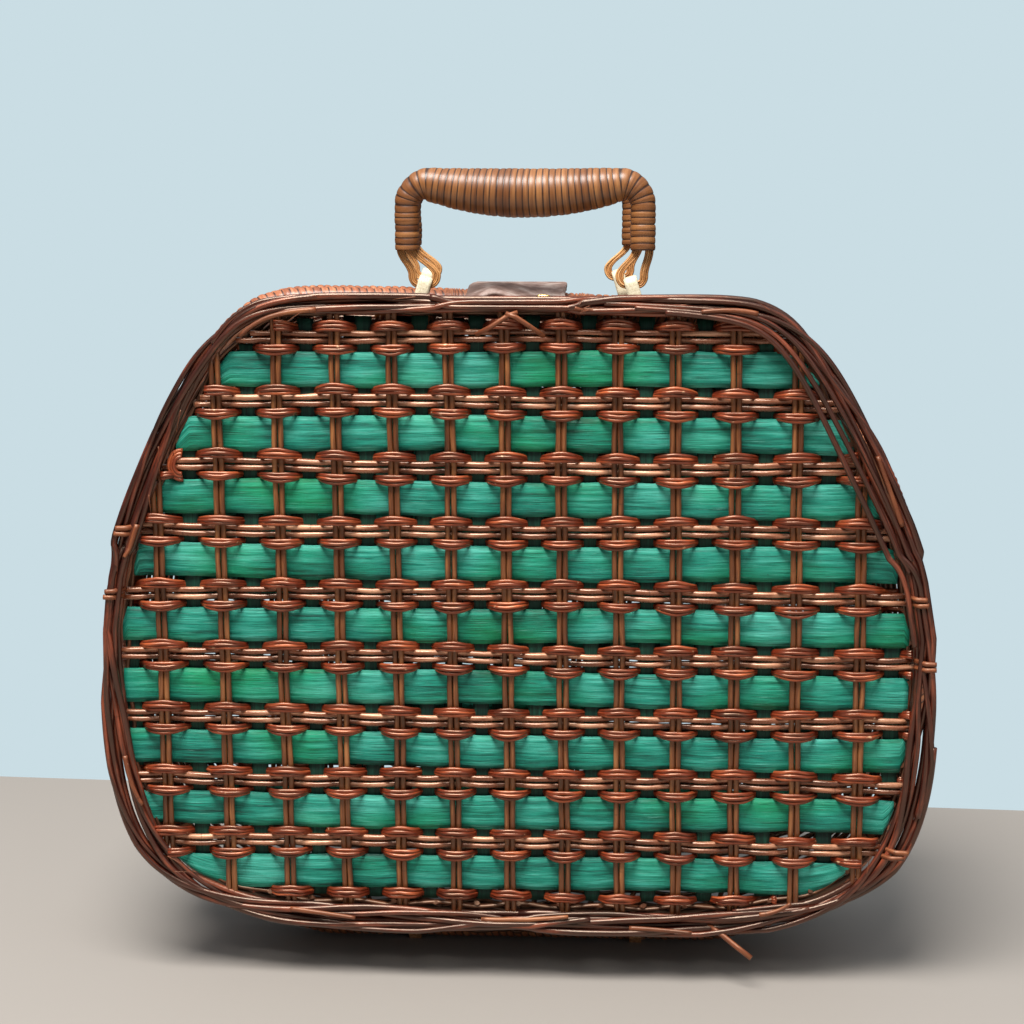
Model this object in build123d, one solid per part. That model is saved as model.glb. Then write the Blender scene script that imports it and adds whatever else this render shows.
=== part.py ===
from build123d import *
import os
from math import atan2, cos, degrees, hypot, pi, sin

# A clamshell picnic case of split bamboo, willow and reed. It stands on the rims of its two halves,
# which are tied together along the bottom. X runs across, Y from front to back and Z up, with the
# origin on the table under the middle of the case. The front half is drawn, and the rear half is the
# same piece turned half a turn about Z.

# Outline of the plaited border, seen from the front
border_half_width = 200.0
border_bottom = 22.0
border_top = 331.0
border_narrowing = 0.32
waist_height = 135.0
lower_roundness = 3.5
upper_roundness = 8.0
shoulder_taper = 0.0235
top_crown = 15.0
ring_stations = 30

# Outline of the mouth rim, where the halves meet
mouth_half_width = border_half_width + 3
mouth_top = border_top + 2.5
mouth_bottom = 0.8
mouth_flattening = 5.0
mouth_gap = 1.0
rim_depth = 12.5
rim_height = 12.0
rim_corner = 0.29

# Side wall, which flares from the panel to the mouth
wall_front = 55.0
wall_inset_front = 12.0
wall_inset_mouth = 4.0
wall_thickness = 4.0
wall_ridge = 1.3
wall_ridge_count = 4
rabbet_width = 1.7

# Woven panel
column_pitch = 0.13 * border_half_width
column_spread = 0.0016
columns = 13
weave_shift = -2.1
row_pitch = 0.0984 * (border_top - border_bottom)
slat_rows = 9
top_slat_inset = 36.0
top_slat_height = border_top - top_slat_inset
slat_height = 15.2
slat_thickness = 1.8
strip_width = 7.6
strip_thickness = 1.2
strip_narrowest = 2.5
cross_rod = 2.6
cross_rod_spacing = 3.25
cross_rod_rise = 15.2
stake_rod = 2.8
stake_spacing = 3.2
weaver_offset = 5.6
weaver_height = 5.2
weaver_thickness = 2.0
weaver_half_width = 10.3
weaver_crest_half_width = 6.0
weaver_shortest = 9.0
hidden_end = 3.1

# Plaited border
border_band = 15.0
border_rod_count = 3
border_rod_radius = 3.3
border_twist_depth = 2.8
border_twist_count = 7
border_side_count = 4
border_seat = 0.3
weave_clearance = 0.5

# Handles
front_handle_offset = 5.0
rear_handle_offset = -1.5
handle_depth = 42.0
handle_pivot_height = mouth_top
handle_half_width = 55.0
handle_loop_height = 16.0
handle_wrap_start = handle_pivot_height + handle_loop_height
handle_rise = 30.4
handle_corner = 10.0
handle_sag = 4.1
handle_leg_radius = 5.8
handle_grip_radius = 11.4
handle_turn_count = 14
handle_side_count = 6
loop_bar = 3.0
loop_half_width_top = 5.2
loop_half_width_bottom = 8.0
clip_half_width = 2.8
clip_thickness = 1.2
clip_clearance = 0.45
clip_sunk = 2.0
clip_inset = 5.4
clip_spacing = handle_half_width - clip_inset

# Hinge ties along the bottom
hinge_height = 2.0
hinge_place = 0.28 * border_half_width
hinge_rod_radius = 1.1
hinge_rod_length = 20.0
hinge_hole_radius = 1.26
tie_width = 6.0
tie_pitch = 8.0
tie_thickness = 0.8

# Leather latch
strap_half_width = 23.5
strap_thickness = 2.2
strap_lift = 0.4
strap_wave = 1.1
strap_front = 40.0
strap_droop = 7.0
strap_fold = 12.3
strap_back = 34.0
strap_gap = 0.3
rivet_spacing = 26.0
rivet_radius = 3.6
rivet_height = 1.6
clasp_place = 14.5
clasp_width = 7.6
clasp_thickness = 1.4
clasp_gap = 1.6
clasp_rise = 0.8

# Layers of the weave, from the inside outwards
strip_back = -wall_front
strip_front = strip_back - strip_thickness
slat_front = strip_front - slat_thickness
rod_front = strip_front - cross_rod
stake_front = rod_front - stake_rod
weaver_front = stake_front - weaver_thickness
border_middle = rod_front - border_seat - border_rod_radius
rim_back = -mouth_gap - rim_depth
rabbet_share = (rod_front + wall_front) / (wall_front + rim_back)


def signed_power(value, power):
    return abs(value) ** power if value >= 0 else -abs(value) ** power


def outline(turn, half_width, bottom, top):
    """Point (x, z) of a rounded outline. The turn goes from 0 at the bottom centre to 1, by way of +X."""
    across = sin(2 * pi * turn)
    up = -cos(2 * pi * turn)
    if up < 0:
        x = half_width * signed_power(across, 2 / lower_roundness)
        return x, waist_height - (waist_height - bottom) * abs(up) ** (2 / lower_roundness)
    share = up ** (2 / upper_roundness)
    rise = (top - waist_height) * share
    x = (half_width - shoulder_taper * rise ** 1.5) * signed_power(across, 2 / upper_roundness)
    return x, waist_height + rise - top_crown * (x * share / border_half_width) ** 2


def border_point(turn, inset):
    """Point at an inset from the border's outside. The border and what lies along it narrow at the top."""
    inset *= 1 - border_narrowing * max(0, -cos(2 * pi * turn)) ** 3
    return outline(turn, border_half_width - inset, border_bottom + inset, border_top - inset)


def mouth_point(turn, inset):
    x, z = outline(
        turn, mouth_half_width - inset, mouth_bottom - mouth_flattening + inset, mouth_top - inset
    )
    return x, max(z, mouth_bottom + inset)


def even_turns(count, dense=1440):
    """Turns at which the border is cut into stretches that share out its length and its bending."""
    points = [border_point(i / dense, 0) for i in range(dense + 1)]
    steps = [(b[0] - a[0], b[1] - a[1]) for a, b in zip(points, points[1:])]
    lengths = [hypot(*step) for step in steps]
    headings = [atan2(step[1], step[0]) for step in steps]
    bends = [abs((b - a + pi) % (2 * pi) - pi) for a, b in zip(headings[-1:] + headings, headings)]
    shares = [l / sum(lengths) + b / sum(bends) for l, b in zip(lengths, bends)]
    turns = []
    travelled = 0
    for i, share in enumerate(shares):
        if travelled >= 2 * len(turns) / count - 1e-9 and len(turns) < count:
            turns.append(i / dense)
        travelled += share
    return turns


turns = even_turns(ring_stations)


def flat(points):
    return Face(Wire.make_polygon([Vector(*p) for p in points], close=True))


def patch(a, b, c, d):
    """One flat face over four corners, or two triangles where they don't lie in a plane."""
    normal = (Vector(*b) - Vector(*a)).cross(Vector(*c) - Vector(*a)).normalized()
    if abs(normal.dot(Vector(*d) - Vector(*a))) < 1e-6:
        return [flat([a, b, c, d])]
    return [flat([a, b, c]), flat([a, c, d])]


def skinned(sections, closed):
    """Solid whose skin runs straight from each section to the next, all with the same corners."""
    faces = []
    pairs = list(zip(sections, sections[1:]))
    if closed:
        pairs.append((sections[-1], sections[0]))
    else:
        faces = [flat(sections[0]), flat(sections[-1])]
    for near, far in pairs:
        for j in range(len(near)):
            k = (j + 1) % len(near)
            faces += patch(near[j], near[k], far[k], far[j])
    return Solid(Shell(faces))


def ring(profile, turns, place):
    """Closed hoop. place(turn, corner) puts each corner of the profile at each station."""
    return skinned([[place(turn, corner) for corner in profile] for turn in turns], True)


def bar(x0, x1, y0, y1, z0, z1):
    return Pos((x0 + x1) / 2, (y0 + y1) / 2, (z0 + z1) / 2) * Box(x1 - x0, abs(y1 - y0), z1 - z0)


def prism(points, plane, length):
    return extrude(plane * make_face(Polyline(*points, close=True)), length)


def rod_section(width):
    """Five-sided section of a thin rod, from 0 at its back to its full width in front."""
    half = width / 2
    return [(-0.7 * half, 0), (0.7 * half, 0), (half, width * 0.6), (0, width), (-half, width * 0.6)]


def upright_rod(x, back, low, high, width):
    return prism([(x + u, back - v) for u, v in rod_section(width)], Plane.XY.offset(low), high - low)


def level_rod(z, back, left, right, width):
    plane = Plane(origin=(left, 0, 0), x_dir=(0, 1, 0), z_dir=(1, 0, 0))
    return prism([(back - v, z + u) for u, v in rod_section(width)], plane, right - left)


def crossings(value, axis, inset):
    """Where the cornered line at an inset from the outline crosses a given x (axis 0) or z (axis 1)."""
    points = [border_point(turn, inset) for turn in turns]
    found = []
    for a, b in zip(points, points[1:] + points[:1]):
        if (a[axis] - value) * (b[axis] - value) <= 0 and a[axis] != b[axis]:
            share = (value - a[axis]) / (b[axis] - a[axis])
            found.append(a[1 - axis] + share * (b[1 - axis] - a[1 - axis]))
    return found


def reach_across(z, inset):
    """How far the panel lies from the middle at a height, or 0 beyond its ends."""
    return min([abs(x) for x in crossings(z, 1, inset)], default=0)


def reach_up_and_down(x, inset):
    """Lowest and highest point of the panel at a distance from the middle, on both sides."""
    sides = [crossings(side * abs(x), 0, inset) for side in (-1, 1)]
    return max(min(side) for side in sides), min(max(side) for side in sides)


def column_place(step):
    """Distance from the middle of a column so many steps to the right. The outer columns stand wider."""
    return weave_shift + column_pitch * step * (1 + column_spread * step ** 2)


# Places of the weave's columns and rows
stake_places = [column_place(i - (columns - 1) / 2) for i in range(columns)]
strip_places = [column_place(i - columns / 2) for i in range(columns + 1)]
slat_heights = [top_slat_height - row_pitch * i for i in range(slat_rows)]
pair_heights = [z + cross_rod_rise for z in slat_heights]
weaver_heights = [z + side * weaver_offset for z in pair_heights for side in (1, -1)]
weaver_heights.append(slat_heights[-1] - cross_rod_rise + weaver_offset)
panel_edge = border_band + weave_clearance
hidden_edge = wall_inset_front + hidden_end


def slats():
    """Wide split-bamboo slats, which run in under the border. Their ends are cut along it."""
    made = []
    plane = Plane(origin=(0, strip_front, 0), x_dir=(1, 0, 0), z_dir=(0, -1, 0))
    for z in slat_heights:
        corners = []
        for level, side in ((z - slat_height / 2, 1), (z + slat_height / 2, -1)):
            reach = reach_across(level, hidden_edge)
            corners += [(-side * reach, level), (side * reach, level)]
        made.append(prism(corners, plane, slat_thickness))
    return made


def strips():
    """Upright bamboo strips behind the slats. The outermost are trimmed to what the border covers."""
    made = []
    widest = border_half_width - hidden_edge - hidden_end
    for x in strip_places:
        left = min(max(x - strip_width / 2, -widest), widest - strip_narrowest)
        right = max(min(x + strip_width / 2, widest), strip_narrowest - widest)
        low, high = reach_up_and_down(max(-left, right), hidden_edge)
        made.append(bar(left, right, strip_front, strip_back, low, high))
    return made


def stakes():
    """Pairs of upright willow rods in front of the slats."""
    made = []
    for x in [c + s * stake_spacing / 2 for c in stake_places for s in (-1, 1)]:
        low, high = reach_up_and_down(abs(x) + stake_rod / 2, panel_edge)
        made.append(upright_rod(x, rod_front, low, high, stake_rod))
    return made


def cross_rods():
    """Pairs of thin level rods between the slats."""
    made = []
    for z in [h + s * cross_rod_spacing / 2 for h in pair_heights for s in (-1, 1)]:
        half = min(reach_across(z + s * cross_rod / 2, panel_edge) for s in (1, -1))
        made.append(level_rod(z, strip_front, -half, half, cross_rod))
    return made


def weavers(crest_half_width):
    """Flat bundles of reed, each arched over a pair of stakes, with a flat crest or a sharp one."""
    made = []
    for z in weaver_heights:
        limit = min(reach_across(z + s * weaver_height / 2, panel_edge) for s in (1, -1))
        for x in stake_places:
            left = max(x - weaver_half_width, -limit)
            right = min(x + weaver_half_width, limit)
            if right - left < weaver_shortest:
                continue
            slope = weaver_half_width - crest_half_width
            arch = [
                (left, stake_front),
                (right, stake_front),
                (right - slope, weaver_front),
                (left + slope, weaver_front),
            ]
            if right - left < 2 * slope + 1:
                arch = [(left, stake_front), (right, stake_front), ((left + right) / 2, weaver_front)]
            made.append(prism(arch, Plane.XY.offset(z - weaver_height / 2), weaver_height))
    return made


def border():
    """Long willow rods twisted round each other along the panel's edge."""
    corners = [2 * pi * j / border_side_count for j in range(border_side_count)]
    middle = border_band / 2
    swing = middle - border_rod_radius
    made = []
    for rod in range(border_rod_count):
        sections = []
        for i, turn in enumerate(turns):
            phase = 2 * pi * (border_twist_count * i / len(turns) + rod / border_rod_count)
            section = []
            for angle in corners:
                x, z = border_point(
                    turn, middle + swing * cos(phase) + border_rod_radius * cos(angle)
                )
                depth = border_middle + border_twist_depth * sin(phase) + border_rod_radius * sin(angle)
                section.append((x, depth, z))
            sections.append(section)
        made.append(skinned(sections, True))
    return made


def wall_place(turn, corner):
    """Point on the side wall. The corner is its share of the way to the mouth and its depth in the wall."""
    share, sunk = corner
    a = border_point(turn, wall_inset_front + sunk)
    b = mouth_point(turn, wall_inset_mouth + sunk)
    y = -wall_front + share * (wall_front + rim_back)
    return a[0] + share * (b[0] - a[0]), y, a[1] + share * (b[1] - a[1])


def wall():
    """Side wall with the swell of its woven courses, and a lip in front that stands round the panel."""
    steps = 2 * wall_ridge_count
    outside = [(k / steps, wall_ridge if k % 2 else 0) for k in range(steps + 1)]
    inside = [(1, wall_thickness), (0, wall_thickness), (0, rabbet_width)]
    lip = [(rabbet_share, rabbet_width), (rabbet_share, 0)]
    return ring(outside[1:] + inside + lip, turns, wall_place)


def rim_section():
    """Corners of the wrapped rim, as inset from its outside and depth."""
    cut_y = rim_depth * rim_corner
    cut_z = rim_height * rim_corner
    return [
        (0, rim_back + cut_y),
        (0, -mouth_gap - cut_y),
        (cut_z, -mouth_gap),
        (rim_height - cut_z, -mouth_gap),
        (rim_height, -mouth_gap - cut_y),
        (rim_height, rim_back + cut_y),
        (rim_height - cut_z, rim_back),
        (cut_z, rim_back),
    ]


def rim_place(turn, corner):
    x, z = mouth_point(turn, corner[0])
    return x, corner[1], z


def octagon(radius, y, z, turned=pi / 8):
    return [(y + radius * cos(turned + pi / 4 * i), z + radius * sin(turned + pi / 4 * i)) for i in range(8)]


def hinge_tie(x, hole):
    """Band of cane round the rim and the hinge rod, seen along X."""
    t = tie_thickness
    rim = [(y, mouth_bottom + inset) for inset, y in rim_section()]
    front, back = -mouth_gap + t, rim_back - t
    cut = 0.5 * t
    outside = [
        (rim[0][0] - cut, 0),
        (0, 0),
        (hinge_height * 0.8, hinge_height * 0.5),
        (hinge_height * 0.8, hinge_height * 1.5),
        (front, hinge_height * 2.1),
        (front, rim[3][1] + cut),
        (rim[4][0] + cut, rim[4][1] + t),
        (rim[5][0] - cut, rim[5][1] + t),
        (back, rim[6][1] + cut),
        (back, rim[7][1] - cut),
    ]
    plane = Plane(origin=(x - tie_width / 2, 0, 0), x_dir=(0, 1, 0), z_dir=(1, 0, 0))
    band = make_face(Polyline(*outside, close=True)) - make_face(Polyline(*rim, close=True))
    band -= make_face(Polyline(*octagon(hole, 0, hinge_height), close=True))
    return extrude(plane * band, tie_width)


def arch_point(share):
    """Centre line of the handle: up the left leg, round its corner, along the sagging top and down again."""
    leg = handle_rise - handle_corner
    arc = handle_corner * pi / 2
    top = handle_half_width - handle_corner
    travel = min(share, 1 - share) * 2 * (leg + arc + top)
    if travel < leg:
        x, z = -handle_half_width, travel
    elif travel < leg + arc:
        angle = (travel - leg) / handle_corner
        x = handle_corner * (1 - cos(angle)) - handle_half_width
        z = leg + handle_corner * sin(angle)
    else:
        x = travel - leg - arc - top
        z = handle_rise - handle_sag * (1 - (x / top) ** 2)
    return (x if share <= 0.5 else -x), handle_wrap_start + z


def handle_grip(offset):
    """Cane-wrapped grip, fat in the middle, with the swell of its turns."""
    stations = [i / (2 * handle_turn_count) for i in range(2 * handle_turn_count + 1)]
    sections = []
    for i, share in enumerate(stations):
        x, z = arch_point(share)
        before = arch_point(max(share - 0.02, 0))
        after = arch_point(min(share + 0.02, 1))
        along = hypot(after[0] - before[0], after[1] - before[1])
        out = (-(after[1] - before[1]) / along, (after[0] - before[0]) / along)
        radius = handle_grip_radius - (handle_grip_radius - handle_leg_radius) * (x / handle_half_width) ** 2
        radius *= 1 if i % 2 else 0.94
        section = []
        for j in range(handle_side_count):
            angle = 2 * pi * j / handle_side_count
            section.append((
                offset + x + out[0] * radius * sin(angle),
                -handle_depth + radius * cos(angle),
                z + out[1] * radius * sin(angle),
            ))
        sections.append(section)
    return skinned(sections, False)


def handle_loop(offset, side):
    """Loop of cane below one end of the grip, with the bar that turns in the clip."""
    clip = offset + side * clip_spacing
    top = offset + side * handle_half_width
    low = handle_pivot_height - loop_bar / 2
    outer = [
        (clip - loop_half_width_bottom, low),
        (clip + loop_half_width_bottom, low),
        (top + loop_half_width_top, handle_wrap_start),
        (top - loop_half_width_top, handle_wrap_start),
    ]
    opening = [
        (clip - loop_half_width_bottom + loop_bar, low + loop_bar),
        (clip + loop_half_width_bottom - loop_bar, low + loop_bar),
        (top + loop_half_width_top - loop_bar, handle_wrap_start - loop_bar),
        (top - loop_half_width_top + loop_bar, handle_wrap_start - loop_bar),
    ]
    plane = Plane(origin=(0, -handle_depth + loop_bar / 2, 0), x_dir=(1, 0, 0), z_dir=(0, -1, 0))
    band = make_face(Polyline(*outer, close=True)) - make_face(Polyline(*opening, close=True))
    return extrude(plane * band, loop_bar)


def wall_top(x, y):
    """Height of the wall's outside above a point of its top."""
    share = (y + wall_front) / (wall_front + rim_back)
    heights = []
    for point, inset in ((border_point, wall_inset_front), (mouth_point, wall_inset_mouth)):
        dense = [point(0.25 + i / 1440, inset) for i in range(721)]
        heights.append(min(dense, key=lambda p: abs(p[0] - x))[1])
    return heights[0] + share * (heights[1] - heights[0])


def handle_clip(offset, side):
    """Flat strap bent over the bar of the loop, with its two tails through the wall."""
    x = offset + side * clip_spacing
    inner = loop_bar * 0.71 + clip_clearance
    outer = inner + clip_thickness
    top = handle_pivot_height + outer
    foot = wall_top(x, -handle_depth) - clip_sunk
    arch = [
        (-outer, foot),
        (-outer, top - outer * 0.45),
        (-outer * 0.55, top),
        (outer * 0.55, top),
        (outer, top - outer * 0.45),
        (outer, foot),
        (inner, foot),
        (inner, handle_pivot_height + inner * 0.55),
        (inner * 0.55, handle_pivot_height + inner),
        (-inner * 0.55, handle_pivot_height + inner),
        (-inner, handle_pivot_height + inner * 0.55),
        (-inner, foot),
    ]
    plane = Plane(origin=(x - clip_half_width, -handle_depth, 0), x_dir=(0, 1, 0), z_dir=(1, 0, 0))
    return prism(arch, plane, 2 * clip_half_width)


def strap_sheet(places):
    """Leather sheet through places of y, underside height and how much of its wave it has there."""
    across = [-1, -0.6, 0, 0.4, 1]
    heights = [0, strap_wave, 0, -0.4 * strap_wave, 0]
    sections = []
    for y, z, wave in places:
        under = [(w * strap_half_width, y, z + h * wave) for w, h in zip(across, heights)]
        over = [(x, y, z + strap_thickness) for x, y, z in reversed(under)]
        sections.append(under + over)
    return skinned(sections, False)


strap_height = mouth_top + strap_lift + 0.4 * strap_wave
strap_seat = strap_back - 3 * rivet_radius


def strap_flap():
    """Part of the latch strap that lifts, over both rims and out above the front half."""
    return strap_sheet([
        (-strap_front, strap_height - strap_droop, 1),
        (-0.6 * strap_front, strap_height - 0.28 * strap_droop, 1),
        (rim_back + rim_depth / 4, strap_height, 0.5),
        (strap_fold, strap_height, 0),
    ])


def strap_anchor():
    """Riveted end of the latch strap, lying down on the top of the rear half."""
    return strap_sheet([
        (strap_fold + strap_gap, strap_height, 0),
        (strap_seat, wall_top(0, -strap_seat) + strap_lift, 0),
        (strap_back, wall_top(0, -strap_back) + strap_lift, 0),
    ])


def rivets():
    """Two brass rivets through the strap into the wall."""
    made = []
    middle = (strap_seat + strap_back) / 2
    ends = (wall_top(0, -strap_seat), wall_top(0, -strap_back))
    slope = degrees(atan2(ends[1] - ends[0], strap_back - strap_seat))
    seat = sum(ends) / 2 + strap_lift + strap_thickness
    head = extrude(RegularPolygon(rivet_radius, 8), rivet_height, taper=25)
    for x in (-rivet_spacing / 2, rivet_spacing / 2):
        made.append(Pos(x, middle, seat) * Rot(X=slope) * head)
    return made


def clasp():
    """Brass plate of the clasp, which stands in the front half's wall before the strap's edge."""
    front = -strap_front - clasp_gap
    top = strap_height - strap_droop + strap_thickness + clasp_rise
    foot = wall_top(clasp_place, front) - clip_sunk
    left = clasp_place - clasp_width / 2
    return bar(left, left + clasp_width, front - clasp_thickness, front, foot, top)


def hinge_rods():
    made = []
    for side in (-1, 1):
        start = side * hinge_place - hinge_rod_length / 2
        plane = Plane(origin=(start, 0, 0), x_dir=(0, 1, 0), z_dir=(1, 0, 0))
        made.append(prism(octagon(hinge_rod_radius, 0, hinge_height), plane, hinge_rod_length))
    return made


def half(tie_offset, tie_hole, crest_half_width, handle_offset):
    """Every piece of one half, drawn as the front half."""
    ties = [hinge_tie(side * hinge_place + tie_offset, tie_hole) for side in (-1, 1)]
    shell = wall()
    for tie in ties:
        box = tie.bounding_box()
        shell -= bar(box.min.X, box.max.X, rim_back - 2 * tie_thickness, rim_back, 0, rim_height + 4 * tie_thickness)
    return {
        "slats": slats(),
        "strips": strips(),
        "stakes": stakes(),
        "cross_rods": cross_rods(),
        "weavers": weavers(crest_half_width),
        "border": border(),
        "side_wall": [shell],
        "mouth_rim": [ring(rim_section(), turns, rim_place)],
        "hinge_ties": ties,
        "handle_grip": [handle_grip(handle_offset)],
        "handle_loop_left": [handle_loop(handle_offset, -1)],
        "handle_loop_right": [handle_loop(handle_offset, 1)],
        "handle_clip_left": [handle_clip(handle_offset, -1)],
        "handle_clip_right": [handle_clip(handle_offset, 1)],
    }


nodes = {}
front = half(tie_pitch / 2, hinge_hole_radius, weaver_crest_half_width, front_handle_offset)
rear = half(tie_pitch / 2, hinge_rod_radius, 0, rear_handle_offset)
for name, solids in front.items():
    nodes["front_" + name] = solids
for name, solids in rear.items():
    nodes["rear_" + name] = [solid.rotate(Axis.Z, 180) for solid in solids]
nodes["hinge_rods"] = hinge_rods()
nodes["strap_flap"] = [strap_flap()]
nodes["strap_anchor"] = [strap_anchor()]
nodes["strap_rivets"] = rivets()
nodes["brass_clasp"] = [clasp()]

os.makedirs("parts", exist_ok=True)
for name, solids in nodes.items():
    export_step(Compound([solid for shape in solids for solid in shape.solids()]), "parts/" + name + ".step")
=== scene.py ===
import math
import bpy
import numpy as np
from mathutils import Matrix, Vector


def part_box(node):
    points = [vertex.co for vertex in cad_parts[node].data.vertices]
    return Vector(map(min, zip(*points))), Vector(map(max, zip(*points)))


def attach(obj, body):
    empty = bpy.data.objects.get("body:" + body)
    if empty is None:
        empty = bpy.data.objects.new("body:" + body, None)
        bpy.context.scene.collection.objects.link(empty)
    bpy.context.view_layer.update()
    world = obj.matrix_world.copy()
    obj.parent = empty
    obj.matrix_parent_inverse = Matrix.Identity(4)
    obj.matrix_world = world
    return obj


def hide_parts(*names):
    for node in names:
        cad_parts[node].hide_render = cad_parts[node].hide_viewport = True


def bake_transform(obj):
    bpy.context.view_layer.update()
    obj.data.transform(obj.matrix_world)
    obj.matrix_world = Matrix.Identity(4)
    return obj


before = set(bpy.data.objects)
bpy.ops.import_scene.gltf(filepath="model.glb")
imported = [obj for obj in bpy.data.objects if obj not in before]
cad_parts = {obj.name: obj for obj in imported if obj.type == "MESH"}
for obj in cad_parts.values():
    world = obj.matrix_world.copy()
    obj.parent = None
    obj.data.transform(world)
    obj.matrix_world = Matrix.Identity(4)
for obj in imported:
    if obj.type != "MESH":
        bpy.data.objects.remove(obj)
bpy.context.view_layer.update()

# What all pieces share: the outlines of the case, in mm in the frame of the solids. The border is a
# rounded trapezoid, wider at the shoulders than the solids', and leans a little to the left. The mouth
# is a slightly larger one, flat where the case stands.
MM = 0.001
HALF_WIDTH, BOTTOM, TOP, WAIST = 198.6, 22.8, 331.0, 172.0
UPPER_ROUNDNESS, SHOULDER_TAPER, CROWN = 12.0, 0.0325, 4.5
BORDER_ROUNDNESS, BORDER_NARROWING = (5.2, 3.8), 0.32
BORDER_SHIFT, BORDER_LEAN = 1.0, -0.0144
MOUTH_ROUNDNESS = (3.3, 3.3)
MOUTH_HALF_WIDTH, MOUTH_BOTTOM, MOUTH_TOP, MOUTH_FLATTENING = 203.0, 0.8, 333.5, 5.0


def outline(turn, half_width, bottom, top, lower_roundness):
    """Points (x, z) of a rounded outline. The turn runs from 0 at the bottom by way of +X to 1. The
    lower roundness is one number across and one up."""
    turn = np.asarray(turn, float)
    across, up = np.sin(2 * np.pi * turn), -np.cos(2 * np.pi * turn)
    low = up < 0
    power = np.where(low, 2 / lower_roundness[0], 2 / UPPER_ROUNDNESS)
    share = np.abs(up) ** np.where(low, 2 / lower_roundness[1], 2 / UPPER_ROUNDNESS)
    rise = np.where(low, 0, (top - WAIST) * share)
    width = half_width - SHOULDER_TAPER * rise ** 1.5
    x = width * np.sign(across) * np.abs(across) ** power
    high = WAIST + rise - CROWN * (x * share / HALF_WIDTH) ** 2
    z = np.where(low, WAIST - (WAIST - bottom) * share, high)
    return np.stack([x, z], -1)


def border_point(turn, inset):
    """Point at an inset from the border's outside. The border and what lies along it narrow at the top."""
    turn = np.asarray(turn, float)
    inset = inset * (1 - BORDER_NARROWING * np.maximum(0, -np.cos(2 * np.pi * turn)) ** 3)
    points = outline(turn, HALF_WIDTH - inset, BOTTOM + inset, TOP - inset, BORDER_ROUNDNESS)
    points[..., 0] += BORDER_SHIFT + BORDER_LEAN * (points[..., 1] - WAIST)
    return points


def mouth_point(turn, inset):
    """Point at an inset from the mouth's outside."""
    points = outline(turn, MOUTH_HALF_WIDTH - inset, MOUTH_BOTTOM - MOUTH_FLATTENING + inset,
                     MOUTH_TOP - inset, MOUTH_ROUNDNESS)
    points[..., 1] = np.maximum(points[..., 1], MOUTH_BOTTOM + inset)
    return points


def paced_turns(count, place=border_point, inset=0.0):
    """Turns that cut an outline into stretches of equal length, and the whole length."""
    dense = np.linspace(0, 1, 20001)
    points = place(dense, inset)
    steps = np.hypot(*np.diff(points, axis=0).T)
    travelled = np.concatenate([[0], np.cumsum(steps)])
    return np.interp(np.arange(count) / count * travelled[-1], travelled, dense), travelled[-1]


def wander(count, waves, seed, closed=False):
    """A smooth, repeatable wobble of about 1 either way, with so many waves along it."""
    draw = np.random.default_rng(seed)
    s = np.linspace(0, 1, count, endpoint=not closed)
    total = np.zeros(count)
    for octave in (1, 2, 3):
        cycles = max(1, round(waves * octave * draw.uniform(0.75, 1.3)))
        total += np.sin(2 * np.pi * (cycles * s + draw.uniform())) * draw.uniform(0.6, 1.0) / octave
    return total / 1.6


def skin(path, points, place, seed, closed=False):
    """Skin over rings of points along a path: corners, faces and each corner's lay, which is its way
    along, its place round or across, and the seed."""
    count, sides = points.shape[:2]
    steps = np.linalg.norm(np.diff(path, axis=0), axis=1)
    along = np.concatenate([[0], np.cumsum(steps)])
    lay = np.stack([np.repeat(along, sides), place.ravel(), np.full(count * sides, seed)], -1)
    i = np.arange(count if closed else count - 1)[:, None]
    j = np.arange(sides)[None, :]
    near, far = i * sides, (i + 1) % count * sides
    quads = np.stack([near + j, near + (j + 1) % sides, far + (j + 1) % sides, far + j], -1)
    faces = quads.reshape(-1, 4).tolist()
    if not closed:
        faces.append(list(range(sides))[::-1])
        faces.append(list(range((count - 1) * sides, count * sides)))
    return points.reshape(-1, 3), faces, lay


def tube(path, width, depth, facing, sides=8, closed=False, seed=0.0, flatness=0.0):
    """Rod or reed along a path. The flatness is how much of its back is cut away."""
    path = np.asarray(path, float)
    count = len(path)
    if closed:
        ahead = np.roll(path, -1, 0) - np.roll(path, 1, 0)
    else:
        ahead = np.gradient(path, axis=0)
    ahead /= np.linalg.norm(ahead, axis=1, keepdims=True) + 1e-12
    facing = np.broadcast_to(np.asarray(facing, float), (count, 3))
    side = np.cross(ahead, facing)
    side /= np.linalg.norm(side, axis=1, keepdims=True) + 1e-12
    out = np.cross(side, ahead)
    angle = 2 * np.pi * np.arange(sides) / sides
    around, rise = np.cos(angle), np.sin(angle)
    if flatness:
        rise = np.where(rise < 0, rise * (1 - flatness), rise)
    width = np.broadcast_to(np.asarray(width, float), (count,))[:, None, None] / 2
    depth = np.broadcast_to(np.asarray(depth, float), (count,))[:, None, None] / 2
    points = (path[:, None] + side[:, None] * width * around[None, :, None]
              + out[:, None] * depth * rise[None, :, None])
    return skin(path, points, np.tile(np.arange(sides) / sides, (count, 1)), seed, closed)


def smooth_step(value):
    """Smooth way from 0 to 1."""
    value = np.clip(value, 0, 1)
    return value * value * (3 - 2 * value)


WEAR_FROM, WEAR_GROWTH = 230.0, 80.0
PANEL_BACK, REAR_FROM, WEAR_DEPTH = -56.0, 16.0, 40.0
MOUTH_DROP, DROP_FROM, DROP_WIDTH, REAR_DROP = 10.0, -125.0, 255.0, 4.5
SHOULDER_PULL, PULL_FROM, PULL_WIDTH = 6.0, 60.0, 90.0


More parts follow.
